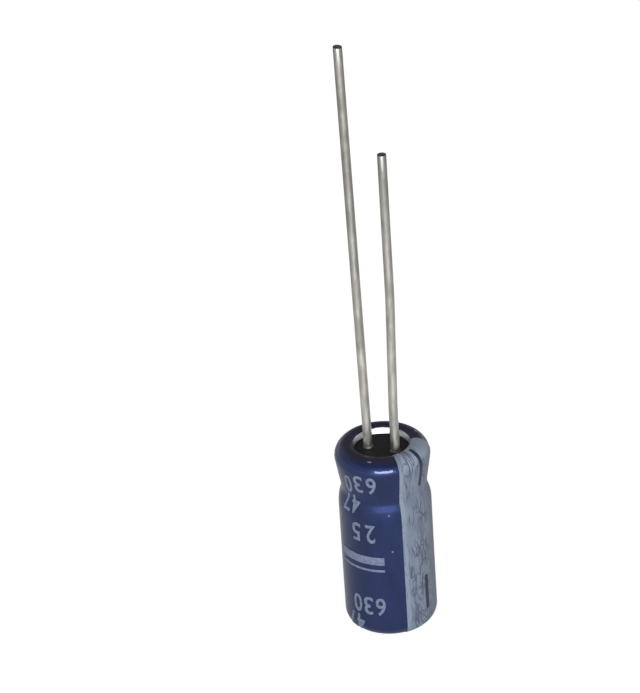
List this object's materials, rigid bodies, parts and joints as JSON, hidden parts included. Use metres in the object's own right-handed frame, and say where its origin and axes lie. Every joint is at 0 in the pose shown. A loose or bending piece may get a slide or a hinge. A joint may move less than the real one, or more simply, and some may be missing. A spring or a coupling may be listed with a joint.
{
  "type": "electrolytic capacitor",
  "caption": "Radial electrolytic capacitor: a beaded aluminium can in a blue sleeve with a grey polarity stripe, sealed with rubber, with a long and a shorter wire lead.",
  "frame": {"origin": "centre of the sleeved base, on the surface that the closed end stands on", "axes": "+Z along the can from its closed base to the leads, +X from the anode lead towards the cathode lead"},
  "size_m": [0.0053, 0.0052, 0.0354],
  "materials": {
    "sleeve_plastic": "glossy shrunk film, navy blue",
    "can_aluminium": "satin drawn aluminium",
    "seal_rubber": "matt black moulded rubber",
    "tinned_wire": "bright tin with drawing lines",
    "tab_aluminium": "bare pressed aluminium",
    "etched_foil": "matt etched foil",
    "plain_foil": "satin foil",
    "separator_paper": "soaked kraft paper",
    "closing_tape": "brown film tape",
    "stripe_ink": "pale grey print",
    "dark_ink": "bare dark sleeve left in the stripe",
    "pale_ink": "pale grey print"
  },
  "bodies": {
    "root": {"sleeve": "sleeve_plastic", "can": "can_aluminium", "bung": "seal_rubber", "anode_lead": "tinned_wire", "cathode_lead": "tinned_wire", "anode_tab": "tab_aluminium", "cathode_tab": "tab_aluminium", "anode_foil": "etched_foil", "cathode_foil": "plain_foil", "inner_paper": "separator_paper", "outer_paper": "separator_paper", "winding_tape": "closing_tape", "negative_stripe": "stripe_ink", "minus_marks": "dark_ink", "rating_print": "pale_ink"}
  },
  "joints": []
}
